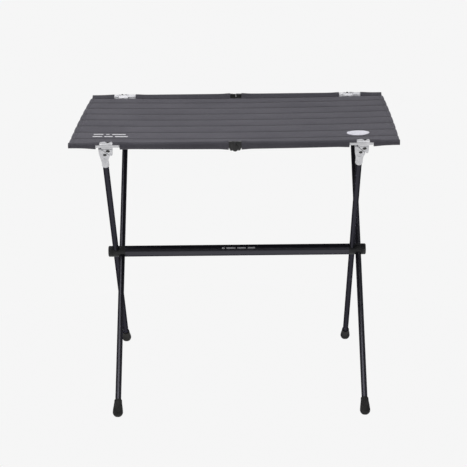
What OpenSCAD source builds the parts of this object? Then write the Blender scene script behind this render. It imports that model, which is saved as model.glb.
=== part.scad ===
// Folding camp kitchen table: two crossed leg pairs on a round crossbar, two hinged rails,
// and a slatted fabric top. X runs along the rails, +Z is up, and the feet stand on z = 0.

/* [Frame] */
// Height of the rail axes above the ground
rail_z = 725; // [700:1:745]
// Half the distance between the two rail axes
rail_y = 350; // [335:1:365]
// Height of the crossbar axis above the ground
bar_z = 359; // [350:1:370]
// Half the length of a rail, end caps included
rail_half = 411; // [405:1:414]
// Distance of the outboard legs from the middle of the table
leg_out = 330.8; // [330:0.1:332]
// Distance of the inboard legs from the middle of the table
leg_in = 314.2; // [313:0.1:314.2]

/* [Tubes] */
// Outer diameter of the leg tubes
leg_d = 15.4; // [15:0.1:15.4]
// Outer diameter of the rail tubes
rail_d = 11; // [10.6:0.1:11]
// Outer diameter of the crossbar
bar_d = 30; // [28:0.5:31]
// Wall thickness of the leg and rail tubes
tube_wall = 1.2; // [1:0.1:1.4]

/* [Fittings] */
// Outer diameter of the saddle around the rail
saddle_d = 13.4; // [13.2:0.1:13.6]
// Width of the opening in the sleeve at each bracket
sleeve_gap = 61; // [58:1:63]
// Largest diameter of the rubber feet
foot_d = 27; // [25:0.5:28]
// Length of the rubber feet
foot_len = 48; // [44:1:50]

/* [Top] */
// Distance between the seams of the fabric top
seam_pitch = 87.3; // [86:0.1:87.5]
// Half the length of the fabric top
top_half = 417; // [415:1:418]
// Height of the upper face of the fabric above the rail axes
top_rise = 0.5; // [0:0.5:1]
// Thickness of a fabric strip with its slat inside
strip_t = 3; // [2.8:0.1:3.2]

/* [Hidden] */
$fn = 48;

eps = 0.01;
leg_angle = atan2(rail_y, rail_z - bar_z);          // lean of the legs from the vertical
leg_top = sqrt(pow(rail_y, 2) + pow(rail_z - bar_z, 2)); // crossbar axis to rail axis
foot_cut = 2;                                       // how far the round foot is cut flat
foot_c = (bar_z - foot_d / 2 + foot_cut) / cos(leg_angle); // crossbar axis to foot centre
hub_w = 16.4;                                       // thickness of a leg hub
bolt_r = 3;
bolt_clear = 0.05;                                  // running clearance of every pivot
cap_w = 12.4;                                       // thickness of the outer pivot cap
bar_half = leg_in - hub_w / 2 - 0.2;                // half length of the crossbar tube
cap_in = leg_out + hub_w / 2 + 0.2;                 // inner face of the pivot caps
plug_len = 26;
bar_wall = 1.6;

socket_end = 88;    // end of the ferrule, measured down the leg from the rail axis
tube_start = 62;    // the leg tube ends this far inside the ferrule
lug_t = 15;         // thickness of the bracket lug, front to back
tongue_t = 6;
pin_at = [10.7, -15];    // bracket pin, in the plane of the leg
button_at = [1.9, -32];  // lock button, in the plane of the leg
pin_r = 2.5;
pin_head_r = 3.1;
pin_head_t = 0.9;
button_r = 3;
screw_at = [11.5, -0.5]; // clamp screw, along the rail and across it
screw_r = 1.5;
saddle_from = -29;
saddle_to = 41;

hinge_z = -11;      // rail hinge pin below the rail axis
hinge_r = 7.6;
hinge_t = 13;       // front to back
hinge_gap_from = -28;
hinge_gap_to = 30;

strip_gap = 4;      // between neighbouring strips
middle_gap = 14;    // between the two middle strips
strip_start = 13.5; // from the rail axis to the first strip
slat_t = 1.6;
skew = 3;           // the rear edge of the top sits this much to the right
front_cuts = [-320, 317];
rear_cuts = [-318, 326];

black = [0.09, 0.09, 0.10];
charcoal = [0.33, 0.33, 0.36];
silver = [0.78, 0.79, 0.80];

// ---- placing helpers ----

// Along the X axis, starting at x
module x_rod(x, len, r) {
  translate([x, 0, 0]) rotate([0, 90, 0]) cylinder(h = len, r = r);
}

// The plane of a leg: origin on the rail axis, -Z down the leg, X along the rail
module leg_frame(x) {
  translate([x, -rail_y, rail_z]) rotate([leg_angle, 0, 0]) children();
}

// The second leg pair is the first one turned half a turn about the vertical
module half_turn() {
  rotate([0, 0, 180]) children();
}

// A flat shape drawn in the plane of a leg, t thick from front to back
module plate(t) {
  rotate([90, 0, 0]) translate([0, 0, -t / 2]) linear_extrude(t) children();
}

// ---- crossbar ----

module crossbar_tube() {
  color(black) translate([0, 0, bar_z]) difference() {
    x_rod(-bar_half, 2 * bar_half, bar_d / 2);
    x_rod(-bar_half - 1, 2 * bar_half + 2, bar_d / 2 - bar_wall);
  }
}

module crossbar_plugs() {
  color(black) for (side = [0, 180]) rotate([0, 0, side]) translate([0, 0, bar_z]) difference() {
    x_rod(bar_half - plug_len, plug_len, bar_d / 2 - bar_wall);
    x_rod(bar_half - plug_len - 1, plug_len + 2, bolt_r);
  }
}

module pivot_caps() {
  color(black) for (side = [0, 180]) rotate([0, 0, side]) translate([0, 0, bar_z]) difference() {
    union() {
      x_rod(cap_in, cap_w - 2, bar_d / 2);
      translate([cap_in + cap_w - 2, 0, 0]) rotate([0, 90, 0])
        cylinder(h = 2, r1 = bar_d / 2, r2 = bar_d / 2 - 2);
    }
    x_rod(cap_in - 1, cap_w + 2, bolt_r);
    x_rod(cap_in + cap_w - 3.5, 5, 6.2);
  }
}

module pivot_bolts() {
  color(silver) for (side = [0, 180]) rotate([0, 0, side]) translate([0, 0, bar_z]) difference() {
    union() {
      x_rod(bar_half - plug_len + 4, cap_in + cap_w - bar_half + plug_len - 7.5 + eps, bolt_r);
      x_rod(cap_in + cap_w - 3.5, 3, 5.6);
    }
    translate([cap_in + cap_w - 2.2, 0, 0]) rotate([0, 90, 0]) cylinder(h = 4, r = 2.4, $fn = 6);
  }
}

// ---- legs ----

// Hole along the X axis for the pivot bolt, in a leg's own plane
module pivot_hole() {
  translate([0, 0, -leg_top]) x_rod(-20, 40, bolt_r + bolt_clear);
}

module leg_tube(x) {
  color(black) leg_frame(x) difference() {
    translate([0, 0, -leg_top - foot_c]) cylinder(h = leg_top + foot_c - tube_start, d = leg_d);
    translate([0, 0, -leg_top - foot_c - 1])
      cylinder(h = leg_top + foot_c - tube_start + 2, d = leg_d - 2 * tube_wall);
    pivot_hole();
  }
}

module leg_hub(x) {
  color(black) leg_frame(x) difference() {
    translate([0, 0, -leg_top]) x_rod(-hub_w / 2, hub_w, bar_d / 2);
    translate([0, 0, -leg_top - bar_d]) cylinder(h = 2 * bar_d, d = leg_d);
    pivot_hole();
  }
}

// Rubber boot: a flared skirt on a round end, cut flat where it stands
module foot(x) {
  color(black) difference() {
    leg_frame(x) translate([0, 0, -leg_top - foot_c]) difference() {
      rotate_extrude() difference() {
        union() {
          intersection() {
            circle(d = foot_d);
            translate([0, -foot_d]) square([foot_d, foot_d + 3]);
          }
          polygon([[0, 0], [foot_d / 2 - 0.35, 3], [foot_d / 2 - 1.8, 12],
            [leg_d / 2 + 2.6, foot_len - foot_d / 2 - 2],
            [leg_d / 2 + 1.8, foot_len - foot_d / 2], [0, foot_len - foot_d / 2]]);
        }
        translate([-foot_d, -foot_d]) square([foot_d, 2 * foot_len]);
      }
      cylinder(h = foot_len, d = leg_d);
    }
    translate([x - foot_d, 0, -foot_d]) cube([2 * foot_d, 2 * rail_y, foot_d]);
  }
}

// ---- brackets and sockets at the rails ----

module lug_shape() {
  difference() {
    polygon([[-5, -2], [-5, -7.5], [14.2, -34], [17, -37.5], [20.5, -35], [21.9, -30], [21.9, -2]]);
    translate(button_at) circle(r = 5.4);
  }
}

module socket_shape() {
  polygon([[-13.2, -9], [-5.7, -9], [13.6, -35], [14, -42], [10.5, -50], [8.7, -60], [8.7, -66],
    [-8.7, -66], [-8.9, -58], [-12, -40], [-13.2, -26]]);
}

module tongue_shape(grow = 0) {
  translate(pin_at) circle(r = 8 + grow);
  translate([-2 - grow, -34]) square([13 + grow, 20 + grow]);
}

module bracket(x) {
  color(silver) difference() {
    union() {
      translate([x, -rail_y, rail_z]) {
        x_rod(saddle_from, saddle_to - saddle_from, saddle_d / 2);
        // ramp, screw seat and stop on top of the saddle
        translate([0, 3, 0]) rotate([90, 0, 0]) linear_extrude(7)
          polygon([[-17, 5], [-17, 6], [2, 9.3], [5, 9.3], [6.5, 6.2], [16.5, 6.2], [18.5, 9],
            [21, 9], [22.5, 5]]);
      }
      leg_frame(x) plate(lug_t) lug_shape();
    }
    leg_frame(x) {
      x_rod(saddle_from - 1, saddle_to - saddle_from + 2, rail_d / 2 + bolt_clear);
      plate(tongue_t + 0.6) tongue_shape(0.6);
      translate([pin_at[0], 20, pin_at[1]]) rotate([90, 0, 0]) cylinder(h = 40, r = pin_r);
    }
    translate([x + screw_at[0], screw_at[1] - rail_y, rail_z + rail_d / 2])
      cylinder(h = 8, r = screw_r);
  }
}

module socket(x) {
  color(silver) leg_frame(x) difference() {
    union() {
      plate(lug_t) difference() {
        socket_shape();
        lug_corner_room();
      }
      plate(tongue_t) tongue_shape();
      translate([0, 0, -socket_end]) cylinder(h = socket_end - 52, d = leg_d + 2.4);
      translate([0, 0, -socket_end]) cylinder(h = 3, d = leg_d + 3.2);
    }
    translate([0, 0, -socket_end - 1]) cylinder(h = socket_end + 1 - tube_start, d = leg_d);
    translate([pin_at[0], 20, pin_at[1]]) rotate([90, 0, 0]) cylinder(h = 40, r = pin_r);
    translate([button_at[0], 0, button_at[1]]) rotate([90, 0, 0])
      cylinder(h = 20, r = button_r);
    x_rod(-30, 60, saddle_d / 2 + 1);
  }
}

// Room for the round corner of the lug beside the lock button
module lug_corner_room() {
  translate([14.2, -34]) circle(r = 0.8);
}

module bracket_pin(x) {
  color(black) leg_frame(x) translate([pin_at[0], 0, pin_at[1]]) rotate([90, 0, 0]) {
    translate([0, 0, -lug_t / 2]) cylinder(h = lug_t, r = pin_r);
    for (side = [0, 1]) mirror([0, 0, side]) translate([0, 0, lug_t / 2])
      cylinder(h = pin_head_t, r = pin_head_r);
  }
}

module lock_button(x) {
  color(black) leg_frame(x) translate([button_at[0], 0, button_at[1]]) rotate([90, 0, 0]) {
    cylinder(h = lug_t / 2, r = button_r);
    translate([0, 0, lug_t / 2]) cylinder(h = 1.5, r1 = button_r, r2 = button_r - 0.8);
  }
}

module clamp_screw(x) {
  color(black) translate([x + screw_at[0], screw_at[1] - rail_y, rail_z]) {
    translate([0, 0, rail_d / 2 + 0.3]) cylinder(h = 1, r = screw_r);
    translate([0, 0, saddle_d / 2]) cylinder(h = 1.8, r = 2 * screw_r);
  }
}

// ---- rails ----

module rail_tube(left) {
  color(black) translate([0, -rail_y, rail_z]) difference() {
    x_rod(left ? -rail_half + 3 : 20, rail_half - 23, rail_d / 2);
    x_rod(left ? -rail_half + 2 : 19, rail_half - 21, rail_d / 2 - tube_wall);
  }
}

module rail_caps() {
  color(black) translate([0, -rail_y, rail_z]) for (side = [0, 180]) rotate([0, 0, side]) {
    x_rod(rail_half - 3, 3, rail_d / 2);
    x_rod(rail_half - 15, 12, rail_d / 2 - tube_wall);
  }
}

// Side view of one half of the rail hinge: a block that carries the rail and an eye for the pin
module hinge_side() {
  translate([0, hinge_z]) circle(r = hinge_r);
  polygon([[0.3, 6.2], [17, 6.2], [17, -7], [12.5, -15.5], [8.5, -16.6], [5, -15], [0.3, -12]]);
}

// The block that holds a rail end, with its tube spigot
module hinge_half(inner) {
  difference() {
    union() {
      if (inner) {
        plate(4.4) hinge_side();
        intersection() {
          plate(hinge_t) hinge_side();
          translate([8.2, -10, -30]) cube([30, 20, 60]);
        }
      } else {
        difference() {
          plate(hinge_t) hinge_side();
          translate([-9, -2.4, -30]) cube([17, 4.8, 60]);
        }
      }
      x_rod(16, 4, rail_d / 2 + 1);
      x_rod(19, 14, rail_d / 2 - tube_wall);
    }
    translate([0, 20, hinge_z]) rotate([90, 0, 0]) cylinder(h = 40, r = pin_r);
    if (inner) {
      translate([-9, 2.2, -30]) cube([9.2, 10, 60]);
      translate([-9, -12.2, -30]) cube([9.2, 10, 60]);
    }
    if (!inner) translate([-hinge_r - 1, -10, -3]) cube([hinge_r + 0.8, 20, 20]);
  }
}

module hinge_fork() {
  color(black) translate([0, -rail_y, rail_z]) rotate([0, 0, 180]) hinge_half(false);
}

module hinge_tongue() {
  color(black) translate([0, -rail_y, rail_z]) hinge_half(true);
}

module hinge_pin() {
  color(silver) translate([0, -rail_y, rail_z + hinge_z]) rotate([90, 0, 0]) {
    translate([0, 0, -hinge_t / 2]) cylinder(h = hinge_t, r = pin_r);
    for (side = [0, 1]) mirror([0, 0, side]) translate([0, 0, hinge_t / 2])
      cylinder(h = 0.8, r = 3.4);
  }
}

// One stretch of the sleeve: the fabric round the rail and its flap towards the first strip
module sleeve_stretch(from, to) {
  x_rod(from, to - from, 7.3);
  translate([from, 3, -strip_t + top_rise]) cube([to - from, 9, strip_t - 0.6]);
}

module sleeve(cuts, shift) {
  ends = [
    [-top_half + 2 + shift, cuts[0] - sleeve_gap / 2],
    [cuts[0] + sleeve_gap / 2, hinge_gap_from],
    [hinge_gap_to, cuts[1] - sleeve_gap / 2],
    [cuts[1] + sleeve_gap / 2, top_half - 2 + shift]
  ];
  color(charcoal) translate([0, -rail_y, rail_z]) difference() {
    for (e = ends) sleeve_stretch(e[0], e[1]);
    x_rod(-rail_half - eps, 2 * rail_half + 2 * eps, rail_d / 2 + 0.1);
    for (x = [-leg_out, leg_in]) x_rod(x + saddle_from - 0.3, saddle_to - saddle_from + 0.6,
      saddle_d / 2 + 0.15);
  }
}

// ---- top ----

// Edges of strip n, counted from the front, measured from the middle of the table
function strip_edges(n) = let (i = n <= 4 ? 4 - n : n - 5,
    near = i == 0 ? middle_gap / 2 : i * seam_pitch + strip_gap / 2,
    far = i == 3 ? rail_y - strip_start : (i + 1) * seam_pitch - strip_gap / 2)
  n <= 4 ? [-far, -near] : [near, far];

// Strips bulge a little past the rails' ends in the middle of the top
function strip_half(n) = top_half + 2 - 1.5 * abs(n - 4.5) / 3.5;

module strip_box(n, inset, t) {
  e = strip_edges(n);
  half = strip_half(n) - inset;
  middle = (e[0] + e[1]) / 2;
  translate([-half + skew * middle / rail_y, e[0] + inset, rail_z + top_rise - strip_t / 2 - t / 2])
    cube([2 * half, e[1] - e[0] - 2 * inset, t]);
}

// A sewn pocket of the fabric top
module strip(n) {
  color(charcoal) difference() {
    strip_box(n, 0, strip_t);
    strip_box(n, 1, slat_t);
  }
}

// The stiff slat inside a pocket
module slat(n) {
  color(silver) strip_box(n, 1, slat_t);
}

crossbar_tube();
crossbar_plugs();
pivot_caps();
pivot_bolts();

leg_tube(-leg_out);  // leg_tube_a_left
leg_tube(leg_in);  // leg_tube_a_right
leg_hub(-leg_out);  // leg_hub_a_left
leg_hub(leg_in);  // leg_hub_a_right
foot(-leg_out);  // foot_a_left
foot(leg_in);  // foot_a_right
socket(-leg_out);  // socket_a_left
socket(leg_in);  // socket_a_right
bracket(-leg_out);  // bracket_a_left
bracket(leg_in);  // bracket_a_right
for (x = [-leg_out, leg_in]) bracket_pin(x);  // bracket_pins_a
for (x = [-leg_out, leg_in]) lock_button(x);  // lock_buttons_a
for (x = [-leg_out, leg_in]) clamp_screw(x);  // clamp_screws_a

half_turn() leg_tube(leg_in);  // leg_tube_b_left
half_turn() leg_tube(-leg_out);  // leg_tube_b_right
half_turn() leg_hub(leg_in);  // leg_hub_b_left
half_turn() leg_hub(-leg_out);  // leg_hub_b_right
half_turn() foot(leg_in);  // foot_b_left
half_turn() foot(-leg_out);  // foot_b_right
half_turn() socket(leg_in);  // socket_b_left
half_turn() socket(-leg_out);  // socket_b_right
half_turn() bracket(leg_in);  // bracket_b_left
half_turn() bracket(-leg_out);  // bracket_b_right
half_turn() for (x = [-leg_out, leg_in]) bracket_pin(x);  // bracket_pins_b
half_turn() for (x = [-leg_out, leg_in]) lock_button(x);  // lock_buttons_b
half_turn() for (x = [-leg_out, leg_in]) clamp_screw(x);  // clamp_screws_b

rail_tube(true);  // rail_tube_front_left
rail_tube(false);  // rail_tube_front_right
hinge_fork();  // hinge_fork_front
hinge_tongue();  // hinge_tongue_front
hinge_pin();  // hinge_pin_front
rail_caps();  // rail_caps_front
sleeve(front_cuts, -skew);  // sleeve_front

half_turn() rail_tube(false);  // rail_tube_rear_left
half_turn() rail_tube(true);  // rail_tube_rear_right
half_turn() hinge_fork();  // hinge_fork_rear
half_turn() hinge_tongue();  // hinge_tongue_rear
half_turn() hinge_pin();  // hinge_pin_rear
half_turn() rail_caps();  // rail_caps_rear
half_turn() sleeve([-rear_cuts[1], -rear_cuts[0]], -skew);  // sleeve_rear

strip(1);  // strip_1
strip(2);  // strip_2
strip(3);  // strip_3
strip(4);  // strip_4
strip(5);  // strip_5
strip(6);  // strip_6
strip(7);  // strip_7
strip(8);  // strip_8
slat(1);  // slat_1
slat(2);  // slat_2
slat(3);  // slat_3
slat(4);  // slat_4
slat(5);  // slat_5
slat(6);  // slat_6
slat(7);  // slat_7
slat(8);  // slat_8
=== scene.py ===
"""Folding camp kitchen table: fabric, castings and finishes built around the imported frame."""

import math

import bmesh
import bpy
from mathutils import Matrix, Vector, noise


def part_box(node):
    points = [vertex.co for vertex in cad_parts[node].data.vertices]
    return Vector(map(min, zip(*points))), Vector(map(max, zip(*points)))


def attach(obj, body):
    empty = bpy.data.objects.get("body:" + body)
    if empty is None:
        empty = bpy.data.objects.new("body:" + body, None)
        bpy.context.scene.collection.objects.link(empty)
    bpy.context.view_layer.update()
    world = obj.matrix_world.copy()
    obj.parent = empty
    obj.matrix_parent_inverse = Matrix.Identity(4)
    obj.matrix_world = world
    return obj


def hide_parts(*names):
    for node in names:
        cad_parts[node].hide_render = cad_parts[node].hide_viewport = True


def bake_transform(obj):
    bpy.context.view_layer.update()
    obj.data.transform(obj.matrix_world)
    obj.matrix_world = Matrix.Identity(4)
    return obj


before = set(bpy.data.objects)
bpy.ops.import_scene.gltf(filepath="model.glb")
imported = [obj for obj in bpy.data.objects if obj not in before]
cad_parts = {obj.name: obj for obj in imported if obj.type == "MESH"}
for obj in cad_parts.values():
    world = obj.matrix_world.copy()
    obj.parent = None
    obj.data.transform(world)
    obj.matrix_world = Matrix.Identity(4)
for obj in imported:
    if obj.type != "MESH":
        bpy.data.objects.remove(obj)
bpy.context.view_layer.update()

MM = 0.001

# ---- driving sizes, taken from the frame ----
rail_low, rail_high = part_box("rail_tube_front_left")
RAIL_R = (rail_high.z - rail_low.z) / 2
RAIL_Y = -(rail_low.y + rail_high.y) / 2
RAIL_Z = (rail_low.z + rail_high.z) / 2
bar_low, bar_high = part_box("crossbar_tube")
BAR_R = (bar_high.z - bar_low.z) / 2
BAR_Z = (bar_low.z + bar_high.z) / 2
LEG_LEAN = math.atan2(RAIL_Y, RAIL_Z - BAR_Z)
LEG_TOP = math.hypot(RAIL_Y, RAIL_Z - BAR_Z)    # along a leg, from the crossing to the rail's axis
LEG_R = 7.7 * MM                                # the leg tubes' radius
strip_boxes = {n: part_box(f"strip_{n}") for n in range(1, 9)}
# Two strips lie between the middle and the seam of strips 6 and 7.
SEAM_PITCH = (strip_boxes[7][0].y + strip_boxes[6][1].y) / 4
TOP_Z = strip_boxes[4][1].z
# At each side the two crossing legs pass each other, one further out than the other.
left_low, left_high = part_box("leg_hub_a_left")
LEG_OUT = -(left_low.x + left_high.x) / 2
right_low, right_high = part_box("leg_hub_a_right")
LEG_IN = (right_low.x + right_high.x) / 2

# ---- the top's own sizes ----
END_OUT = 415.5 * MM       # from the middle to an end, along the front and rear edges
LEVEL_OUT = 418 * MM       # from the middle to where the seams stop hanging
SAG = 4.4 * MM             # how far the fabric hangs at mid-length
CROWN = 1.5 * MM           # height of a strip's middle over its seams
STRIP_T = 3.0 * MM         # thickness in the middle of a strip, with its slat
SEAM_T = 1.1 * MM          # thickness at the seams and hems
HEM = 11 * MM              # width of the hem at a strip's ends
SKEW = 3 * MM              # the rear edge sits this much to the right of the middle
STITCH_PITCH = 4.2 * MM
THREAD_R = 0.32 * MM
THREAD_LIFT = 0.12 * MM    # how far a stitch arches over the cloth

# ---- the sleeves' own sizes ----
SLEEVE_T = 0.9 * MM
FLAP_IN = 17.5 * MM        # from the rail's axis to the upper flap's edge
FLAP_SEAM = 15.6 * MM      # from the rail's axis to the stitches along the flap
CLIP_CUTS = {"front": (-320 * MM, 317 * MM), "rear": (-318 * MM, 326 * MM)}
CLIP_HALF = 30.5 * MM      # half the length of a clip's opening
HINGE_HALF = 16 * MM       # half the length of the opening at the middle hinge

# ---- the castings' own sizes ----
CAST_GRAIN = 0.5 * MM      # the finest step in a cast surface
SADDLE_R = 6.7 * MM
PIN_PLACE = (10.7 * MM, 0, -15 * MM)       # the pin's axis, from the rail's axis down the leg
BUTTON_PLACE = (1.9 * MM, 0, -32 * MM)     # the lock button's axis, in the same frame
SCREW_PLACE = (11.5 * MM, -0.5 * MM, 0)    # the clamp screw's axis, over the rail's axis


# ---- camera ----

CAMERA_PLACE = (0.02504, -4.96544, 1.64531)
CAMERA_DOWN = 14.016       # degrees below level
CAMERA_YAW = -0.3946       # degrees to the right of straight ahead
CAMERA_ROLL = -0.6856      # degrees about its own line of sight
CAMERA_LENS = 144.51


def make_camera():
    data = bpy.data.cameras.new("camera")
    data.lens = CAMERA_LENS
    data.sensor_width = 36
    data.clip_end = 100
    cam = bpy.data.objects.new("camera", data)
    bpy.context.scene.collection.objects.link(cam)
    pitch, yaw, roll = (math.radians(a) for a in (CAMERA_DOWN, CAMERA_YAW, CAMERA_ROLL))
    ahead = Vector((math.sin(yaw), math.cos(yaw), 0))
    aside = Vector((math.cos(yaw), -math.sin(yaw), 0))
    up = Vector((0, 0, 1))
    forward = math.cos(pitch) * ahead - math.sin(pitch) * up
    below = -math.cos(pitch) * up - math.sin(pitch) * ahead
    right = math.cos(roll) * aside - math.sin(roll) * below
    down = math.sin(roll) * aside + math.cos(roll) * below
    turn = Matrix((right, -down, -forward)).transposed()
    cam.matrix_world = Matrix.Translation(CAMERA_PLACE) @ turn.to_4x4()
    bpy.context.scene.camera = cam


# ---- studio ----

# The floor glows as evenly as the sky under it. It is open in the middle, so that the folded
# table, whose crossbar keeps its place, can be seen down to its feet.
FLOOR_TONE = 0.92
FLOOR_OPENING = 0.95
FLOOR_REACH = 40
FLOOR_SIDES = 96
SKY_FRONT = (0.085, 0.085, 0.092, 1)
SKY_REAR = (0.62, 0.62, 0.64, 1)


def area_light(name, place, target, size, power):
    data = bpy.data.lights.new(name, "AREA")
    data.shape = "RECTANGLE"
    data.size, data.size_y = size
    data.energy = power
    lamp = bpy.data.objects.new(name, data)
    bpy.context.scene.collection.objects.link(lamp)
    lamp.location = place
    lamp.rotation_mode = "QUATERNION"
    aim = Vector(target) - Vector(place)
    lamp.rotation_quaternion = aim.to_track_quat("-Z", "Y")


def make_sky():
    """Above the horizon the sky runs from dark in front to pale behind; below it is the floor's tone."""
    world = bpy.data.worlds.new("studio")
    bpy.context.scene.world = world
    world.use_nodes = True
    nodes, links = world.node_tree.nodes, world.node_tree.links
    nodes.clear()
    coords = nodes.new("ShaderNodeTexCoord")
    split = nodes.new("ShaderNodeSeparateXYZ")
    depth = nodes.new("ShaderNodeMapRange")
    depth.inputs["From Min"].default_value = -1
    ramp = nodes.new("ShaderNodeValToRGB")
    for element, place, tone in zip(ramp.color_ramp.elements, (0.25, 0.9), (SKY_FRONT, SKY_REAR)):
        element.position = place
        element.color = tone
    above = nodes.new("ShaderNodeMapRange")
    above.inputs["From Min"].default_value = -0.02
    above.inputs["From Max"].default_value = 0.02
    halves = nodes.new("ShaderNodeMix")
    halves.data_type = "RGBA"
    lower, upper = halves.inputs[6:8]
    lower.default_value = (FLOOR_TONE, FLOOR_TONE, FLOOR_TONE, 1)
    shade = nodes.new("ShaderNodeBackground")
    out = nodes.new("ShaderNodeOutputWorld")
    links.new(coords.outputs["Generated"], split.inputs[0])
    links.new(split.outputs["Y"], depth.inputs["Value"])
    links.new(depth.outputs[0], ramp.inputs["Fac"])
    links.new(split.outputs["Z"], above.inputs["Value"])
    links.new(above.outputs[0], halves.inputs["Factor"])
    links.new(ramp.outputs["Color"], upper)
    links.new(halves.outputs[2], shade.inputs["Color"])
    links.new(shade.outputs[0], out.inputs[0])


def make_floor():
    mesh = bpy.data.meshes.new("floor")
    turns = [math.tau * k / FLOOR_SIDES for k in range(FLOOR_SIDES)]
    rims = [(r * math.cos(a), r * math.sin(a), 0) for r in (FLOOR_OPENING, FLOOR_REACH) for a in turns]
    mesh.from_pydata(rims, [], grid_faces(2, FLOOR_SIDES, wrap=True))
    floor = bpy.data.objects.new("floor", mesh)
    bpy.context.scene.collection.objects.link(floor)
    mesh.materials.append(floor_finish())


def make_studio():
    bpy.context.scene.view_settings.view_transform = "Standard"
    make_sky()
    area_light("key_light", (-0.5, -0.7, 3.0), (0, 0, 0), (3.2, 2.4), 60)
    area_light("strip_light", (-2.2, -2.6, 2.0), (0, 0, 0.5), (0.25, 1.4), 11)
    area_light("fill_light", (1.4, -3.8, 2.6), (0, 0, 0.6), (0.9, 0.9), 9)
    make_floor()


# ---- materials ----

THREADS = 1250             # threads to the metre in the woven cloth


class Finish:
    """A node material around one Principled shader, with short calls for the usual nodes."""

    def __init__(self, name, roughness=0.5, metallic=0.0, **sockets):
        self.material = bpy.data.materials.new(name)
        self.material.use_nodes = True
        tree = self.material.node_tree
        self.nodes, self.links = tree.nodes, tree.links
        self.shader = self.nodes["Principled BSDF"]
        self.shader.inputs["Roughness"].default_value = roughness
        self.shader.inputs["Metallic"].default_value = metallic
        for socket, value in sockets.items():
            self.shader.inputs[socket.replace("_", " ")].default_value = value
        self.coords = self.nodes.new("ShaderNodeTexCoord").outputs["Object"]

    def mapped(self, scale, turn=(0, 0, 0)):
        """The object's coordinates, turned and then scaled."""
        turned = self.nodes.new("ShaderNodeMapping")
        turned.inputs["Rotation"].default_value = turn
        scaled = self.nodes.new("ShaderNodeMapping")
        scaled.inputs["Scale"].default_value = scale
        self.links.new(self.coords, turned.inputs["Vector"])
        self.links.new(turned.outputs[0], scaled.inputs["Vector"])
        return scaled.outputs[0]

    def noise(self, scale, detail=3, vector=None):
        node = self.nodes.new("ShaderNodeTexNoise")
        node.inputs["Scale"].default_value = scale
        node.inputs["Detail"].default_value = detail
        self.links.new(vector or self.coords, node.inputs["Vector"])
        return node.outputs["Fac"]

    def cells(self, scale):
        node = self.nodes.new("ShaderNodeTexVoronoi")
        node.inputs["Scale"].default_value = scale
        self.links.new(self.coords, node.inputs["Vector"])
        return node.outputs["Distance"]

    def waves(self, axis, per_metre):
        """Even threads across one axis, this many to the metre."""
        node = self.nodes.new("ShaderNodeTexWave")
        node.wave_type = "BANDS"
        node.bands_direction = axis
        node.inputs["Scale"].default_value = per_metre * math.pi / 10
        self.links.new(self.coords, node.inputs["Vector"])
        return node.outputs["Fac"]

    def weave(self):
        return self.maths("MULTIPLY", self.waves("X", THREADS), self.waves("Y", THREADS))

    def maths(self, operation, a, b=None):
        """One maths node; a and b are numbers or outputs of other nodes."""
        node = self.nodes.new("ShaderNodeMath")
        node.operation = operation
        for socket, value in zip(node.inputs, (a, b)):
            if value is None:
                continue
            if isinstance(value, (int, float)):
                socket.default_value = value
            else:
                self.links.new(value, socket)
        return node.outputs[0]

    def ramp(self, value, *stops):
        """Tones along a value, one for each (place, tone); a tone is a number or a colour."""
        node = self.nodes.new("ShaderNodeValToRGB")
        elements = node.color_ramp.elements
        for i, (place, colour) in enumerate(stops):
            element = elements[i] if i < 2 else elements.new(place)
            element.position = place
            if isinstance(colour, (int, float)):
                colour = (colour, colour, colour)
            element.color = (*colour, 1)
        self.links.new(value, node.inputs["Fac"])
        return node.outputs["Color"]

    def mix(self, factor, a, b, blend="MIX"):
        """Two colours mixed; each is a colour or an output of another node."""
        node = self.nodes.new("ShaderNodeMix")
        node.data_type = "RGBA"
        node.blend_type = blend
        sockets = (node.inputs["Factor"], *node.inputs[6:8])
        for socket, value in zip(sockets, (factor, a, b)):
            if isinstance(value, (int, float)):
                socket.default_value = value
            elif isinstance(value, tuple):
                socket.default_value = (*value, 1)
            else:
                self.links.new(value, socket)
        return node.outputs[2]

    def colour(self, value):
        self.links.new(value, self.shader.inputs["Base Color"])

    def roughness(self, value, low, high):
        """Roughness that follows a value between two limits."""
        self.links.new(self.ramp(value, (0.25, low), (0.75, high)), self.shader.inputs["Roughness"])

    def bump(self, *layers):
        """Stacked bump nodes, one for each (height, depth in metres)."""
        last = None
        for height, depth in layers:
            node = self.nodes.new("ShaderNodeBump")
            node.inputs["Strength"].default_value = 1.0
            node.inputs["Distance"].default_value = depth
            self.links.new(height, node.inputs["Height"])
            if last is not None:
                self.links.new(last, node.inputs["Normal"])
            last = node.outputs["Normal"]
        self.links.new(last, self.shader.inputs["Normal"])


def floor_finish():
    """Pale studio floor that glows evenly, so that it stays free of shadows."""
    f = Finish("pale_floor", roughness=0.9)
    f.colour(f.ramp(f.noise(3), (0.3, 0.0), (0.7, 0.004)))
    f.shader.inputs["Specular IOR Level"].default_value = 0.0
    f.shader.inputs["Emission Color"].default_value = (1, 1, 1, 1)
    f.shader.inputs["Emission Strength"].default_value = FLOOR_TONE
    return f.material


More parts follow.
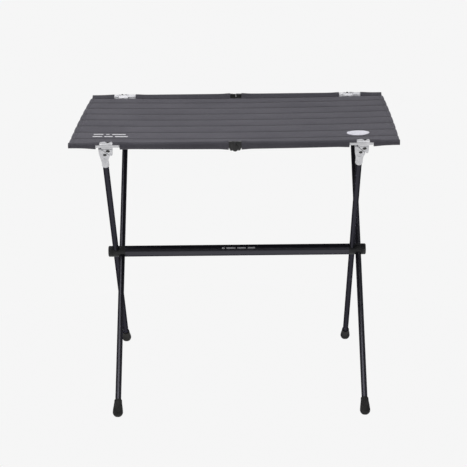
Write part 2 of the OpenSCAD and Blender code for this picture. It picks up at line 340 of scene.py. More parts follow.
def fabric_finish(name, light, dark, seams):
    """Plain-woven polyester: fine threads, a faint slub, and painted shade along the seams between the
    strips.
    """
    f = Finish(name, roughness=0.78, Sheen_Weight=0.12, Sheen_Roughness=0.45)
    cloth = f.weave()
    mottle = f.noise(9, 4)
    slub = f.noise(1, 4, f.mapped(scale=(35, 900, 900)))
    tone = f.mix(f.ramp(mottle, (0.3, 0.0), (0.7, 1.0)), light, dark)
    tone = f.mix(0.35, tone, f.ramp(slub, (0.3, 0.72), (0.7, 1.0)), "MULTIPLY")
    tone = f.mix(0.45, tone, f.ramp(cloth, (0.0, 0.62), (0.45, 1.0)), "MULTIPLY")
    if seams:
        # Painted shade: the cloth darkens to half its tone towards each seam line, standing for the shade in
        # the groove between strips.
        split = f.nodes.new("ShaderNodeSeparateXYZ")
        f.links.new(f.coords, split.inputs[0])
        place = f.maths("DIVIDE", split.outputs["Y"], SEAM_PITCH)
        away = f.maths("ABSOLUTE", f.maths("SUBTRACT", place, f.maths("ROUND", place)))
        tone = f.mix(1.0, tone, f.ramp(away, (0.02, 0.50), (0.10, 1.0)), "MULTIPLY")
    f.colour(tone)
    f.roughness(mottle, 0.72, 0.84)
    f.bump((cloth, 0.00012), (slub, 0.00006))
    return f.material


def thread_finish():
    f = Finish("thread", roughness=0.7, Sheen_Weight=0.2)
    twist = f.waves("DIAGONAL", 1400)
    f.colour(f.ramp(twist, (0.2, (0.030, 0.030, 0.034)), (0.8, (0.055, 0.055, 0.062))))
    f.bump((twist, 0.00008))
    return f.material


def tube_finish(name, lean):
    """Black anodised aluminium: drawn lines along the tube, a fine grain and faint rub marks. Lean is
    the leg's angle from upright, or None for a tube that lies along X."""
    f = Finish(name, roughness=0.3, metallic=1.0, Specular_Tint=(0.12, 0.12, 0.13, 1))
    if lean is None:
        along = f.mapped(scale=(9, 1800, 1800))
    else:
        along = f.mapped(scale=(1800, 1800, 9), turn=(lean, 0, 0))
    drawn = f.noise(1, 3, along)
    grain = f.noise(420, 3)
    rub = f.noise(26, 5)
    tone = f.ramp(drawn, (0.25, (0.052, 0.051, 0.060)), (0.75, (0.070, 0.069, 0.080)))
    worn = f.ramp(rub, (0.66, 0.0), (0.8, 1.0))
    f.colour(f.mix(worn, tone, (0.10, 0.10, 0.11)))
    f.roughness(f.maths("ADD", f.maths("MULTIPLY", drawn, 0.5), f.maths("MULTIPLY", rub, 0.5)), 0.27, 0.42)
    f.bump((drawn, 0.000015), (grain, 0.000012))
    return f.material


def plastic_finish():
    f = Finish("black_plastic", roughness=0.5, Specular_IOR_Level=0.3)
    grain = f.cells(1600)
    rub = f.noise(40, 5)
    f.colour(f.ramp(rub, (0.35, (0.012, 0.012, 0.013)), (0.75, (0.026, 0.026, 0.028))))
    f.roughness(grain, 0.42, 0.6)
    f.bump((grain, 0.00004), (rub, 0.00006))
    return f.material


def rubber_finish():
    f = Finish("foot_rubber", roughness=0.75, Specular_IOR_Level=0.2)
    pores = f.noise(900, 4)
    dust = f.noise(60, 5)
    f.colour(f.ramp(dust, (0.35, (0.016, 0.016, 0.016)), (0.8, (0.042, 0.041, 0.040))))
    f.roughness(pores, 0.66, 0.86)
    f.bump((pores, 0.00005))
    return f.material


def cast_finish():
    """Bead-blasted die-cast aluminium, a little darker where it was rubbed."""
    f = Finish("silver_casting", roughness=0.4, metallic=0.45)
    blast = f.noise(1500, 3)
    flow = f.noise(55, 5)
    pits = f.cells(700)
    tone = f.ramp(flow, (0.3, (0.52, 0.52, 0.54)), (0.72, (0.70, 0.70, 0.72)))
    f.colour(f.mix(0.5, tone, f.ramp(pits, (0.02, 0.7), (0.16, 1.0)), "MULTIPLY"))
    f.roughness(f.maths("ADD", f.maths("MULTIPLY", flow, 0.6), f.maths("MULTIPLY", blast, 0.4)), 0.34, 0.5)
    f.bump((blast, 0.00004), (flow, 0.0002))
    return f.material


def steel_finish(name, tone, metallic):
    """Turned steel, from blackened to bare by its tone."""
    f = Finish(name, roughness=0.38, metallic=metallic)
    turned = f.noise(700, 3)
    rub = f.noise(90, 5)
    f.colour(f.ramp(rub, (0.3, tone), (0.8, tone * 2.2)))
    f.roughness(turned, 0.3, 0.5)
    f.bump((turned, 0.00002))
    return f.material


def print_finish(name, tone, roughness):
    """Screen print: slightly thin where the weave shows through."""
    f = Finish(name, roughness=roughness)
    cloth = f.weave()
    worn = f.noise(300, 4)
    shade = f.mix(0.5, tone, f.ramp(cloth, (0.0, 0.7), (0.4, 1.0)), "MULTIPLY")
    f.colour(f.mix(f.ramp(worn, (0.62, 0.0), (0.75, 0.7)), shade, tuple(c * 0.55 for c in tone)))
    f.roughness(worn, roughness - 0.08, roughness + 0.08)
    f.bump((cloth, 0.00006))
    return f.material


# ---- mesh helpers ----

def mm(pairs):
    """Pairs of sizes in millimetres as metres."""
    return [(a * MM, b * MM) for a, b in pairs]


def new_object(name, vertices, faces, material):
    mesh = bpy.data.meshes.new(name)
    mesh.from_pydata([tuple(v) for v in vertices], [], faces)
    return from_mesh(name, mesh, material)


def from_mesh(name, mesh, material, smooth=True, sharp=40):
    """An object from a mesh, shaded smooth but for edges sharper than this many degrees."""
    mesh.validate()
    mesh.name = name
    mesh.materials.clear()
    mesh.materials.append(material)
    mesh.polygons.foreach_set("use_smooth", [smooth] * len(mesh.polygons))
    if smooth:
        mesh.set_sharp_from_angle(angle=math.radians(sharp))
    obj = bpy.data.objects.new(name, mesh)
    bpy.context.scene.collection.objects.link(obj)
    return obj


def baked(obj):
    """The object's mesh with its modifiers applied; the object itself goes."""
    bpy.context.view_layer.update()
    graph = bpy.context.evaluated_depsgraph_get()
    mesh = bpy.data.meshes.new_from_object(obj.evaluated_get(graph))
    bpy.data.objects.remove(obj)
    return mesh


def grid_faces(rows, columns, wrap=False):
    """Quads between the points of a grid stored row by row; wrap closes each row on itself."""
    faces = []
    for r in range(rows - 1):
        for c in range(columns if wrap else columns - 1):
            d = (c + 1) % columns
            faces.append((r * columns + c, r * columns + d, (r + 1) * columns + d, (r + 1) * columns + c))
    return faces


def tube_shape(profile, matrix, segments=48):
    """Points and faces of a closed turned shape, with (radius, height) from end to end on the axis +Z."""
    points = []
    for radius, height in profile:
        for k in range(segments):
            a = math.tau * k / segments
            points.append(matrix @ Vector((radius * math.cos(a), radius * math.sin(a), height)))
    faces = grid_faces(len(profile), segments, wrap=True)
    faces.append(tuple(range(segments))[::-1])
    last = (len(profile) - 1) * segments
    faces.append(tuple(last + k for k in range(segments)))
    return points, faces


def plate_shape(outline, thickness, matrix):
    """An outline in the XZ plane, given thickness along Y."""
    n = len(outline)
    points = [matrix @ Vector((x, y, z)) for y in (-thickness / 2, thickness / 2) for x, z in outline]
    faces = [tuple(range(n)), tuple(range(n, 2 * n))[::-1]]
    faces += [(i, i + n, (i + 1) % n + n, (i + 1) % n) for i in range(n)]
    return points, faces


def joined(shapes):
    """Several shapes, each given as points and faces, as one mesh with outward faces."""
    vertices, faces = [], []
    for points, quads in shapes:
        faces += [tuple(i + len(vertices) for i in q) for q in quads]
        vertices += points
    mesh = bpy.data.meshes.new("joined")
    mesh.from_pydata([tuple(v) for v in vertices], [], faces)
    bm = bmesh.new()
    bm.from_mesh(mesh)
    bmesh.ops.recalc_face_normals(bm, faces=bm.faces)
    bm.to_mesh(mesh)
    bm.free()
    return mesh


def along_x():
    """A frame whose +Z runs along X."""
    return Matrix.Rotation(math.pi / 2, 4, "Y")


def along_y(place):
    """A frame at the place whose +Z runs along -Y, towards the front."""
    return Matrix.Translation(place) @ Matrix.Rotation(math.pi / 2, 4, "X")


def casting(name, shapes, cuts):
    """One casting: its shapes melt together with rounded edges, and then the holes are drilled."""
    solid = bpy.data.objects.new(name, joined(shapes))
    bpy.context.scene.collection.objects.link(solid)
    melt = solid.modifiers.new("melt", "REMESH")
    melt.mode = "VOXEL"
    melt.voxel_size = CAST_GRAIN
    melt.adaptivity = 0
    ease = solid.modifiers.new("ease", "SMOOTH")
    ease.factor = 0.5
    ease.iterations = 5
    drills = []
    for i, cut in enumerate(cuts):
        drill = bpy.data.objects.new(f"drill_{i}", joined([cut]))
        bpy.context.scene.collection.objects.link(drill)
        drill.hide_render = True
        bore = solid.modifiers.new("bore", "BOOLEAN")
        bore.operation = "DIFFERENCE"
        bore.solver = "EXACT"
        bore.object = drill
        drills.append(drill)
    mesh = baked(solid)
    for drill in drills:
        bpy.data.objects.remove(drill)
    return mesh


def placed(name, mesh, matrix, material, body, node):
    """A copy of a mesh at its place, riding on its body and standing for its CAD node."""
    copy = mesh.copy()
    copy.transform(matrix)
    obj = from_mesh(name, copy, material)
    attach(obj, body)
    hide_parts(node)
    return obj


def softened(node, width, material, body):
    """The CAD node's own shape with its sharp edges rounded off."""
    bm = bmesh.new()
    bm.from_mesh(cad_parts[node].data)
    bmesh.ops.remove_doubles(bm, verts=bm.verts, dist=1e-6)
    bmesh.ops.dissolve_limit(bm, angle_limit=math.radians(1), verts=bm.verts, edges=bm.edges)
    edges = [e for e in bm.edges if len(e.link_faces) == 2 and e.calc_face_angle() > math.radians(32)]
    bmesh.ops.bevel(bm, geom=edges, offset=width, segments=2, profile=0.6,
                    affect="EDGES", clamp_overlap=True)
    mesh = bpy.data.meshes.new(node)
    bm.to_mesh(mesh)
    bm.free()
    obj = from_mesh(node + ".shaped", mesh, material, sharp=35)
    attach(obj, body)
    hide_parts(node)


# ---- fabric top ----

def wander(x, y, z, scale):
    """A smooth seeded value from -1 to 1 at a point."""
    return noise.noise(Vector((x * scale + 3.1, y * scale - 7.7, z)))


def ground_level(x, y):
    """Height of the seams over the whole top: level at the ends, hanging at mid-length."""
    reach = min(1.0, abs(x) / LEVEL_OUT)
    wave = 0.28 * MM * wander(x, y, 0.0, 14)
    return TOP_Z - 0.6 * MM - SAG * (1 - reach ** 2) + wave


def strip_span(n):
    """Front and rear edge of a strip: seam to seam, or to the sleeve at the outer strips."""
    low, high = strip_boxes[n]
    middle = (low.y + high.y) / 2
    cell = math.floor(middle / SEAM_PITCH)
    front = low.y if n == 1 else cell * SEAM_PITCH
    rear = high.y if n == 8 else (cell + 1) * SEAM_PITCH
    return front, rear


def strip_end(side, n, v):
    """X of a strip's end: the whole edge is bowed, each strip swells a little between its seams, and
    the rear corners are rounded."""
    front, rear = strip_span(n)
    y = front + (rear - front) * v
    bow = 3.0 * MM * (1 - (y / RAIL_Y) ** 2)
    swell = 1.2 * MM * (1 - (2 * v - 1) ** 4)
    rounded = 3 * MM * max(0.0, v / 0.25 - 3) ** 2 if n == 8 else 0.0
    return side * (END_OUT + bow + swell - rounded) + SKEW * y / RAIL_Y


def crown(v):
    """Height over the seams at a share v of the way from seam to seam."""
    return CROWN * (1 - abs(2 * v - 1) ** 3)


def strip_top(n, x, y):
    """Height of a strip's upper face."""
    front, rear = strip_span(n)
    v = min(1.0, max(0.0, (y - front) / (rear - front)))
    left, right = strip_end(-1, n, v), strip_end(1, n, v)
    from_end = max(0.0, min(x - left, right - x))
    # The hem's stitches press a shallow line into the cloth, and the seams' draw it into puckers.
    hem_line = 0.9 * MM * math.exp(-((from_end - HEM) / (1.6 * MM)) ** 2)
    taper = 1 - 0.55 * max(0.0, 1 - from_end / HEM)
    from_seam = min(y - front, rear - y)
    pucker = 0.22 * MM * wander(x, n * 1.0, 2.0, 95) * math.exp(-(from_seam / (7 * MM)) ** 2)
    return ground_level(x, y) + crown(v) * taper - hem_line + pucker


def strip_mesh(n):
    """A sewn pocket: two faces that meet in thin edges along the seams and the hems. Its rows are
    closer at the seams and its columns at the hems, where the shape turns."""
    front, rear = strip_span(n)
    gap = 0.12 * MM
    rows = [0.5 - 0.5 * math.cos(math.pi * k / 20) for k in range(21)]
    hem_steps = [0, 0.0012, 0.004, 0.008, 0.011, 0.0125, 0.0145, 0.018]
    count = 130
    steps = hem_steps + [0.018 + (0.5 - 0.018) * k / count for k in range(1, count + 1)]
    columns = steps + [1 - s for s in reversed(steps[:-1])]
    layers = []
    for bottom in (False, True):
        points = []
        for v in rows:
            y = front + gap + (rear - front - 2 * gap) * v
            left, right = strip_end(-1, n, v), strip_end(1, n, v)
            for u in columns:
                x = left + (right - left) * u
                top = strip_top(n, x, y)
                edge = min(1.0, min(x - left, right - x) / (6 * MM), min(v, 1 - v) * 9)
                thick = SEAM_T + (STRIP_T - SEAM_T) * math.sin(edge * math.pi / 2)
                points.append(Vector((x, y, top - (thick if bottom else 0))))
        layers.append(points)
    width = len(columns)
    size = len(rows) * width
    faces = grid_faces(len(rows), width)
    faces += [tuple(size + i for i in reversed(q)) for q in faces]
    last = size - width
    for c in range(width - 1):
        faces.append((c, c + size, c + 1 + size, c + 1))
        faces.append((last + c, last + c + 1, last + c + 1 + size, last + c + size))
    for r in range(len(rows) - 1):
        a, b = r * width, (r + 1) * width
        faces.append((a, b, b + size, a + size))
        a, b = a + width - 1, b + width - 1
        faces.append((a, a + size, b + size, b))
    return layers[0] + layers[1], faces


def stitch(points, faces, start, end):
    """Adds one thread stitch from start to end, arched over the cloth."""
    along = end - start
    side = along.cross(Vector((0, 0, 1))).normalized() * THREAD_R
    up = Vector((0, 0, THREAD_R * 0.9 + THREAD_LIFT))
    sunk = Vector((0, 0, THREAD_R * 0.6))
    base = len(points)
    points.append(start - sunk)
    for t in (0.22, 0.78):
        middle = start + along * t
        points.extend((middle - side, middle + up, middle + side, middle - sunk))
    points.append(end - sunk)
    for k in range(4):
        a, b = base + 1 + k, base + 1 + (k + 1) % 4
        faces.append((base, b, a))
        faces.append((a, b, b + 4, a + 4))
        faces.append((base + 9, a + 4, b + 4))


def stitch_row(points, faces, place, length):
    """Adds stitches along place(t), t from 0 to 1, with the gaps where the thread dives."""
    count = int(length / STITCH_PITCH)
    for k in range(count):
        stitch(points, faces, place((k + 0.12) / count), place((k + 0.88) / count))


def strip_stitches(n):
    """The stitches beside a strip's two seams and along its two hems."""
    points, faces = [], []
    front, rear = strip_span(n)
    for y, v in ((front + 3.2 * MM, 0.03), (rear - 3.2 * MM, 0.97)):
        left, right = strip_end(-1, n, v) + 2 * MM, strip_end(1, n, v) - 2 * MM

        def seam(t, y=y, left=left, right=right):
            x = left + (right - left) * t
            return Vector((x, y, strip_top(n, x, y)))

        stitch_row(points, faces, seam, right - left)
    for side in (-1, 1):

        def hem(t, side=side):
            v = 0.04 + 0.92 * t
            y = front + (rear - front) * v
            x = strip_end(side, n, v) - side * (HEM - 2.4 * MM)
            return Vector((x, y, strip_top(n, x, y)))

        stitch_row(points, faces, hem, rear - front)
    return points, faces


def make_strips(cloth, thread):
    for n in range(1, 9):
        points, faces = strip_mesh(n)
        strip = new_object(f"fabric_strip_{n}", points, faces, cloth)
        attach(strip, f"panel_{n}")
        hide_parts(f"strip_{n}", f"slat_{n}")
        points, faces = strip_stitches(n)
        row = new_object(f"stitches_strip_{n}", points, faces, thread)
        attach(row, f"panel_{n}")


# ---- sleeves round the rails ----

def smooth_line(points):
    """A soft curve through the points, with three steps from each point to the next."""
    line = []
    for i in range(len(points) - 1):
        before = points[max(0, i - 1)]
        after = points[min(len(points) - 1, i + 2)]
        near = list(zip(before, points[i], points[i + 1], after))
        for k in range(3):
            t = k / 3
            line.append(tuple(0.5 * (2 * b + (c - a) * t + (2 * a - 5 * b + 4 * c - d) * t * t
                                     + (3 * b - a - 3 * c + d) * t ** 3) for a, b, c, d in near))
    line.append(points[-1])
    return line


def sleeve_fullness(x, cuts):
    """Extra radius where the sleeve has the middle hinge or a clip's saddle inside it."""
    wide = 1.7 * MM / (1 + (x / (30 * MM)) ** 6)
    for cut in cuts:
        wide += 1.5 * MM / (1 + ((x - cut) / (46 * MM)) ** 8)
    return wide


def sleeve_profile(x, flap_top, flap_low, fullness, cover):
    """Section of the sleeve: inward distance and height from the rail's axis, from the upper flap
    over the rail, down its outer side and back under it to the lower flap. The cloth hangs lower
    under the rail at mid-length. A cover stops halfway down the outer side."""
    r = RAIL_R + 0.75 * MM + fullness
    hang = (0.6 + 5.6 * (1 - min(1.0, abs(x) / (400 * MM)) ** 2)) * MM
    flutter = 0.5 * MM * wander(x, 0.0, 5.0, 22)
    points = [(FLAP_IN, flap_top), (13 * MM, flap_top + 0.15 * MM)]
    points.append((0.62 * (r + 7 * MM), 0.45 * flap_top + 0.42 * r))
    for angle in (52, 78, 105, 132, 158, 170 if cover else 180):
        a = math.radians(angle)
        points.append((r * math.cos(a), r * math.sin(a)))
    if cover:
        return smooth_line(points)
    points.append((-r + 0.15 * MM - 0.03 * hang, -0.35 * r - 0.45 * hang + flutter * 0.4))
    points.append((-0.62 * r, -0.85 * r - hang))
    points.append((0.15 * r, -r - hang + flutter * 0.3))
    points.append((1.1 * r, -0.8 * r - 0.62 * hang))
    points.append((11.5 * MM, 0.75 * flap_low - 0.25 * (0.5 * r + 0.2 * hang)))
    points.append((17 * MM, flap_low))
    return smooth_line(points)


def inwards(front, distance):
    """Y at a distance from the front or rear rail's axis, towards the middle of the top."""
    return (-1 if front else 1) * (RAIL_Y - distance)


def sleeve_stretch(x0, x1, front, cuts, cover=False):
    """One stretch of sleeve between two openings, as points and faces of its middle surface."""
    count = max(6, int((x1 - x0) / (5 * MM)))
    rows = []
    for k in range(count + 1):
        x = x0 + (x1 - x0) * k / count
        level = strip_top(1 if front else 8, x, inwards(front, FLAP_IN)) - RAIL_Z
        section = sleeve_profile(x, level + 0.75 * MM, level - SEAM_T - 2.1 * MM,
                                 sleeve_fullness(x, cuts), cover)
        rows.append([Vector((x, inwards(front, a), RAIL_Z + h)) for a, h in section])
    points = [p for row in rows for p in row]
    return points, grid_faces(len(rows), len(rows[0]))


def sleeve_stretches(front):
    """Where the sleeve starts and stops: its ends, the two brackets and the middle hinge."""
    name = "front" if front else "rear"
    low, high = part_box(f"sleeve_{name}")
    left, right = CLIP_CUTS[name]
    past = 1 * MM if front else -1 * MM
    places = [low.x - past, left - CLIP_HALF, left + CLIP_HALF, -HINGE_HALF,
              HINGE_HALF, right - CLIP_HALF, right + CLIP_HALF, high.x + past]
    return list(zip(places[0::2], places[1::2]))


def clip_covers():
    """Where cloth still lies over the front clips' saddles: beside their ramps."""
    covers = []
    for leg, cut in zip((-LEG_OUT, LEG_IN), CLIP_CUTS["front"]):
        ramp_start, ramp_end = leg - 9.6 * MM, leg + 23.2 * MM
        covers += [(cut - CLIP_HALF, ramp_start), (ramp_end, cut + CLIP_HALF)]
    return covers


def sleeve_stitches(front, stretches):
    """The stitches that hold the sleeve's upper flap to the outer strip."""
    points, faces = [], []
    y = inwards(front, FLAP_SEAM)
    for a, b in stretches:

        def seam(t, a=a, b=b):
            x = a + 2 * MM + (b - a - 4 * MM) * t
            return Vector((x, y, strip_top(1 if front else 8, x, y) + 1.35 * MM))

        stitch_row(points, faces, seam, b - a)
    return points, faces


def make_sleeve(front, cloth, thread):
    """The sleeve round the rail and the stitches along its flap, built in place and attached to no body."""
    name = "front" if front else "rear"
    stretches = sleeve_stretches(front)
    cuts = CLIP_CUTS[name]
    shapes = [sleeve_stretch(a, b, front, cuts) for a, b in stretches]
    if front:
        shapes += [sleeve_stretch(a, b, front, cuts, cover=True) for a, b in clip_covers()]
    skin = bpy.data.objects.new("skin", joined(shapes))
    bpy.context.scene.collection.objects.link(skin)
    thick = skin.modifiers.new("thick", "SOLIDIFY")
    thick.thickness = SLEEVE_T
    thick.offset = 0
    sleeve = from_mesh(f"fabric_sleeve_{name}", baked(skin), cloth, sharp=60)
    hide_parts(f"sleeve_{name}")
    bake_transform(sleeve)
    points, faces = sleeve_stitches(front, stretches)
    row = new_object(f"stitches_sleeve_{name}", points, faces, thread)
    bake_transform(row)


# ---- marks ----

def cloth_patch(outline, rings, middle_lift):
    """A thin closed patch on the second strip: rings of (share of the outline, lift over the cloth)
    from the rim inwards, and a last point in the middle."""
    points = []
    count = len(outline)
    cx = sum(p[0] for p in outline) / count
    cy = sum(p[1] for p in outline) / count
    for share, lift in rings:
        for x, y in outline:
            px, py = cx + (x - cx) * share, cy + (y - cy) * share
            points.append(Vector((px, py, strip_top(2, px, py) + lift)))
    points.append(Vector((cx, cy, strip_top(2, cx, cy) + middle_lift)))
    faces = grid_faces(len(rings), count, wrap=True)
    last = (len(rings) - 1) * count
    faces += [(last + k, last + (k + 1) % count, len(points) - 1) for k in range(count)]
    faces.append(tuple(reversed(range(count))))
    return points, faces


def bar_outline(x0, x1, y0, y1):
    """A rectangle with points along its long sides, so that it can follow the cloth."""
    count = max(2, int((x1 - x0) / (4 * MM)))
    lower = [(x0 + (x1 - x0) * k / count, y0) for k in range(count + 1)]
    upper = [(x1 - (x1 - x0) * k / count, y1) for k in range(count + 1)]
    return lower + upper


def make_cloth_dashes(white):
    """Two rows of plain dashes at the left."""
    half = 4.5 * MM
    rim = [(1.0, -0.3 * MM), (1.0, 0.16 * MM)]
    rows = {-208 * MM: mm([(-366, -341), (-333, -325), (-318, -283)]),
            -236 * MM: mm([(-366, -342), (-336, -315), (-309, -276)])}
    shapes = [cloth_patch(bar_outline(x0, x1, y - half, y + half), rim, 0.2 * MM)
              for y, dashes in rows.items() for x0, x1 in dashes]
    dashes = from_mesh("plain_dashes", joined(shapes), white, smooth=False)
    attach(dashes, "panel_2")


def make_badge(badge):
    """A plain round badge at the right, with a raised rim and a raised ring."""
    x, y, radius = 316 * MM, -221 * MM, 29 * MM
    circle = [(x + radius * math.cos(a), y + 1.05 * radius * math.sin(a))
              for a in (math.tau * k / 72 for k in range(72))]
    rings = [(1.0, -0.3), (1.0, 0.7), (0.975, 0.95), (0.91, 0.95), (0.885, 0.6), (0.80, 0.6), (0.78, 0.8),
             (0.70, 0.8), (0.68, 0.6), (0.4, 0.62), (0.2, 0.65)]
    rings = [(share, lift * MM) for share, lift in rings]
    disc = from_mesh("plain_badge", joined([cloth_patch(circle, rings, 0.65 * MM)]), badge, sharp=25)
    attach(disc, "panel_2")


def bar_dash(x0, x1):
    """A dash printed on the front of the crossbar: a thin curved plate."""
    count = 8
    n = count + 1
    points = []
    for radius in (BAR_R - 0.1 * MM, BAR_R + 0.08 * MM):
        for x in (x0, x1):
            for k in range(n):
                a = math.radians(30) + math.radians(16) * k / count
                points.append(Vector((x, -radius * math.cos(a), BAR_Z + radius * math.sin(a))))
    faces = [tuple(reversed(q)) for q in grid_faces(2, n)]
    faces += [tuple(i + 2 * n for i in q) for q in grid_faces(2, n)]
    faces += [(k, k + 1, k + 1 + 2 * n, k + 2 * n) for k in range(count)]
    faces += [(n + k, n + k + 2 * n, n + k + 1 + 2 * n, n + k + 1) for k in range(count)]
    faces += [(0, 2 * n, 3 * n, n), (count, n + count, 3 * n + count, 2 * n + count)]
    return points, faces


def make_bar_dashes(faint):
    spans = mm([(-41, -33), (-29, -4), (1, 24), (29, 49)])
    mark = from_mesh("crossbar_dashes", joined([bar_dash(*span) for span in spans]), faint, smooth=False)
    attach(mark, "crossbar")


# ---- brackets, sockets and feet ----

def leg_places():
    """For each leg: its name, its pair, and the frame on the rail axis whose -Z runs down the leg."""
    half_turn = Matrix.Rotation(math.pi, 4, "Z")
    for pair, turn in (("a", Matrix.Identity(4)), ("b", half_turn)):
        for x in (-LEG_OUT, LEG_IN):
            side = "left" if (x < 0) == (pair == "a") else "right"
            on_rail = turn @ Matrix.Translation((x, -RAIL_Y, RAIL_Z))
            yield pair, side, on_rail, on_rail @ Matrix.Rotation(LEG_LEAN, 4, "X")


def ring(radius, start, length, matrix):
    """A closed round bar with chamfered ends."""
    chamfer = 0.4 * MM
    profile = [(radius - chamfer, start), (radius, start + chamfer),
               (radius, start + length - chamfer), (radius - chamfer, start + length)]
    return tube_shape(profile, matrix)


def bracket_mesh():
    """Saddle round the rail with its ramp, screw seat and stop, and the lug that takes the pin."""
    lean = Matrix.Rotation(LEG_LEAN, 4, "X")
    on_screw = Matrix.Translation((0, SCREW_PLACE[1], 0))
    pin = lean @ along_y(PIN_PLACE)
    ramp = mm([(-9, 4), (-9, 6.4), (-7, 7), (-3, 7.8), (0, 8.2), (4, 8.2), (5.4, 7.6), (6.8, 6),
               (16.2, 6), (17.4, 7.4), (18.4, 7.9), (20.4, 7.9), (21.4, 7.4), (22.6, 6), (22.6, 4)])
    lug = mm([(-5, -1), (-5, -7.5), (1, -15.8), (7.6, -25), (14.4, -34.3), (15.6, -36.6), (17.4, -37.4),
              (19.4, -36.6), (20.8, -34.4), (21.7, -30), (21.9, -24), (21.9, -1)])
    boss = mm([(5.9, -8.4), (6.5, -7.8), (6.5, 7.8), (5.9, 8.4)])
    shapes = [
        ring(SADDLE_R, -29 * MM, 70 * MM, along_x()),
        plate_shape(ramp, 8 * MM, on_screw),
        plate_shape(lug, 15 * MM, lean),
        tube_shape(boss, pin),
    ]
    under_saddle = mm([(-6, -7.3), (23, -7.3), (23, -9.5), (-6, -9.5)])
    screw_seat = mm([(8, 5.9), (15, 5.9), (15, 12), (8, 12)])
    cuts = [plate_shape(under_saddle, 4 * MM, lean @ Matrix.Translation((0, y * MM, 0)))
            for y in (-7.9, 7.9)]
    cuts += [
        tube_shape(mm([(5.58, -31), (5.58, 43)]), along_x(), 64),
        tube_shape(mm([(6.1, -12), (6.1, 12)]), lean @ along_y(BUTTON_PLACE), 40),
        tube_shape(mm([(5.4, 7.2), (5.4, 12)]), pin, 40),
        tube_shape(mm([(5.4, -12), (5.4, -7.2)]), pin, 40),
        plate_shape(screw_seat, 6.4 * MM, on_screw),
    ]
    return casting("bracket", shapes, cuts)


def socket_mesh():
    """The arm beside the lug, the button boss and the ferrule that the leg tube is pushed into."""
    leg = Matrix.Identity(4)
    button = along_y(BUTTON_PLACE)
    arm = mm([(-13.2, -9.6), (-6.6, -9.6), (-0.4, -18), (6.4, -27.4), (12.8, -36), (13.6, -39.5), (13, -43.5),
              (10.6, -50), (9, -58), (8.9, -66), (-8.9, -66), (-9.1, -58), (-11.2, -45), (-12.6, -34),
              (-13.2, -24)])
    boss = mm([(5.1, -7.9), (5.7, -7.4), (5.7, 7.4), (5.1, 7.9)])
    shapes = [plate_shape(arm, 14.6 * MM, leg), tube_shape(boss, button)]
    for radius, start, length in ((8.9, -88, 38), (9.5, -88, 3), (9.25, -81, 1.6), (9.25, -77.6, 1.6)):
        shapes.append(ring(radius * MM, start * MM, length * MM, leg))
    for x in (-10.6, -7.4):
        rib = mm([(x - 0.7, -13), (x + 0.7, -13), (x + 1.5, -34), (x + 0.3, -34)])
        shapes.append(plate_shape(rib, 15.8 * MM, leg))
    bore = LEG_R + 0.03 * MM
    cuts = [
        tube_shape([(bore, -89 * MM), (bore, -62 * MM)], leg, 64),
        tube_shape(mm([(4.8, 6.2), (4.8, 12)]), button, 40),
    ]
    return casting("socket", shapes, cuts)


def pin_mesh():
    """The pin that the leg folds about: domed, recessed heads on both faces of the lug."""
    rear_half = [(0.5, -8.2), (1.9, -8.2), (2.1, -8.7), (4.5, -8.7), (5.0, -8.2), (5.0, -7.3), (2.5, -7.1)]
    front_half = [(radius, -height) for radius, height in reversed(rear_half)]
    return joined([tube_shape(mm(rear_half + front_half), along_y(PIN_PLACE))])


def button_mesh():
    """The spring button that locks the leg: a dished cap proud of its boss."""
    cap = [(4.4, 4.0), (4.45, 8.3), (4.2, 8.8), (3.4, 9.0), (1.9, 8.5), (0.4, 8.4)]
    return joined([tube_shape(mm(cap), along_y(BUTTON_PLACE))])


def screw_mesh():
    """Clamp screw in its seat on top of the saddle, with a six-sided recess."""
    top = Matrix.Translation(SCREW_PLACE)
    head = mm([(2.5, 5.7), (2.9, 6.1), (2.9, 7.9), (2.6, 8.3)])
    hexagon = mm([(1.35, 7.2), (1.35, 9)])
    solid = bpy.data.objects.new("screw", joined([tube_shape(head, top)]))
    key = bpy.data.objects.new("key", joined([tube_shape(hexagon, top, 6)]))
    for obj in (solid, key):
        bpy.context.scene.collection.objects.link(obj)
    recess = solid.modifiers.new("recess", "BOOLEAN")
    recess.operation = "DIFFERENCE"
    recess.object = key
    mesh = baked(solid)
    bpy.data.objects.remove(key)
    return mesh


def foot_mesh():
    """Rubber boot in the leg's own frame: a beaded collar, a flared, grooved skirt and a round tread."""
    radius = 13.5 * MM
    centre = -LEG_TOP - (BAR_Z - radius + 2 * MM) / math.cos(LEG_LEAN)
    turns = [math.radians(-90 + 7.4 * k) for k in range(1, 13)]
    tread = [(radius * math.cos(a), radius * math.sin(a)) for a in turns]
    skirt = mm([(13.3, 2.5), (13.1, 4.5), (12.75, 4.8), (12.75, 5.8), (13.0, 6.1), (12.8, 7.8),
                (12.75, 8.4), (12.1, 14), (11.4, 19), (10.75, 24), (10.6, 25.5)])
    collar = mm([(10.25, 27.5), (10.0, 28), (9.9, 28.8), (10.3, 29.4), (10.35, 30.6), (9.9, 31.2),
                 (9.8, 31.8), (10.15, 32.3), (10.1, 33.6), (9.6, 34.4), (8.0, 34.5)])
    grooves, per_groove = 16, 6
    count = grooves * per_groove
    mesh = joined([tube_shape(tread + skirt + collar, Matrix.Translation((0, 0, centre)), count)])
    groove = {0: 0.6 * MM, 1: 0.35 * MM, per_groove - 1: 0.35 * MM}
    for i, vertex in enumerate(mesh.vertices):
        if 8 * MM < vertex.co.z - centre < 25 * MM:
            depth = groove.get(i % count % per_groove, 0.0)
            shrink = 1 - depth / math.hypot(vertex.co.x, vertex.co.y)
            vertex.co.x *= shrink
            vertex.co.y *= shrink
    return mesh


def flatten_foot(obj):
    """The tread is cut level where it stands."""
    for vertex in obj.data.vertices:
        vertex.co.z = max(vertex.co.z, 0.0)


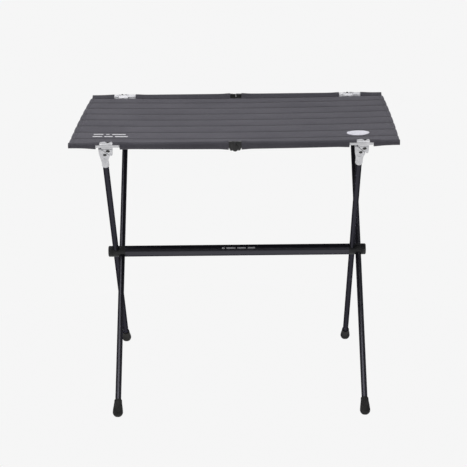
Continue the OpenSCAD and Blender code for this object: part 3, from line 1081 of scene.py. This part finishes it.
def make_fittings(silver, steel, rubber):
    """The same castings and feet at all four legs: none is mirrored, and the rear legs are turned."""
    bracket, socket = bracket_mesh(), socket_mesh()
    pin, button, screw = pin_mesh(), button_mesh(), screw_mesh()
    foot = foot_mesh()
    for pair, side, on_rail, on_leg in leg_places():
        body, name = f"legs_{pair}", f"{pair}_{side}"
        placed(f"cast_bracket_{name}", bracket, on_rail, silver, body, f"bracket_{name}")
        placed(f"cast_socket_{name}", socket, on_leg, silver, body, f"socket_{name}")
        placed(f"pin_{name}", pin, on_leg, steel, body, f"bracket_pins_{pair}")
        placed(f"button_{name}", button, on_leg, steel, body, f"lock_buttons_{pair}")
        placed(f"screw_{name}", screw, on_rail, steel, body, f"clamp_screws_{pair}")
        boot = placed(f"boot_{name}", foot, on_leg, rubber, body, f"foot_{name}")
        flatten_foot(boot)


# ---- finishes on the frame's own shapes ----

def paint_frame():
    """Finishes for the tubes and bolts, and rounded edges for the hubs, caps and hinges."""
    lean = {"a": -LEG_LEAN, "b": LEG_LEAN}
    tubes = {pair: tube_finish(f"leg_black_{pair}", lean[pair]) for pair in lean}
    straight = tube_finish("tube_black", None)
    plastic = plastic_finish()
    bolt = steel_finish("steel", 0.28, 0.9)
    hinge = steel_finish("hinge_black", 0.014, 0.2)
    finish = {
        "crossbar_tube": straight, "crossbar_plugs": plastic, "pivot_bolts": bolt,
        "hinge_pin_front": hinge, "hinge_pin_rear": hinge,
    }
    for end in ("front", "rear"):
        for side in ("left", "right"):
            finish[f"rail_tube_{end}_{side}"] = straight
    for pair in ("a", "b"):
        for side in ("left", "right"):
            finish[f"leg_tube_{pair}_{side}"] = tubes[pair]
    for node, material in finish.items():
        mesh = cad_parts[node].data
        mesh.materials.clear()
        mesh.materials.append(material)
    softened("pivot_caps", 0.8 * MM, plastic, "crossbar")
    for pair in ("a", "b"):
        for side in ("left", "right"):
            softened(f"leg_hub_{pair}_{side}", 0.7 * MM, plastic, f"legs_{pair}")
    for end in ("front", "rear"):
        softened(f"hinge_fork_{end}", 0.5 * MM, hinge, f"rail_{end}")
        softened(f"hinge_tongue_{end}", 0.5 * MM, hinge, f"rail_{end}")
        softened(f"rail_caps_{end}", 0.6 * MM, plastic, f"rail_{end}")


make_camera()
make_studio()
thread = thread_finish()
top_cloth = fabric_finish("top_fabric", (0.067, 0.0625, 0.081), (0.055, 0.0513, 0.068), seams=True)
# The sleeve is the top's cloth in a darker tone: painted shade for the cloth wrapped round the rails, which
# faces sideways and down, away from the light above.
sleeve_cloth_painted_shade = fabric_finish("sleeve_fabric_painted_shade", (0.056, 0.053, 0.067), (0.047, 0.0445, 0.057), seams=False)
make_strips(top_cloth, thread)
make_sleeve(True, sleeve_cloth_painted_shade, thread)
make_sleeve(False, sleeve_cloth_painted_shade, thread)
make_cloth_dashes(print_finish("white_print", (0.75, 0.75, 0.76), 0.55))
make_badge(print_finish("badge_print", (0.80, 0.79, 0.86), 0.45))
make_bar_dashes(print_finish("faint_print", (0.50, 0.50, 0.52), 0.5))
make_fittings(cast_finish(), steel_finish("dark_steel", 0.012, 0.3), rubber_finish())
paint_frame()
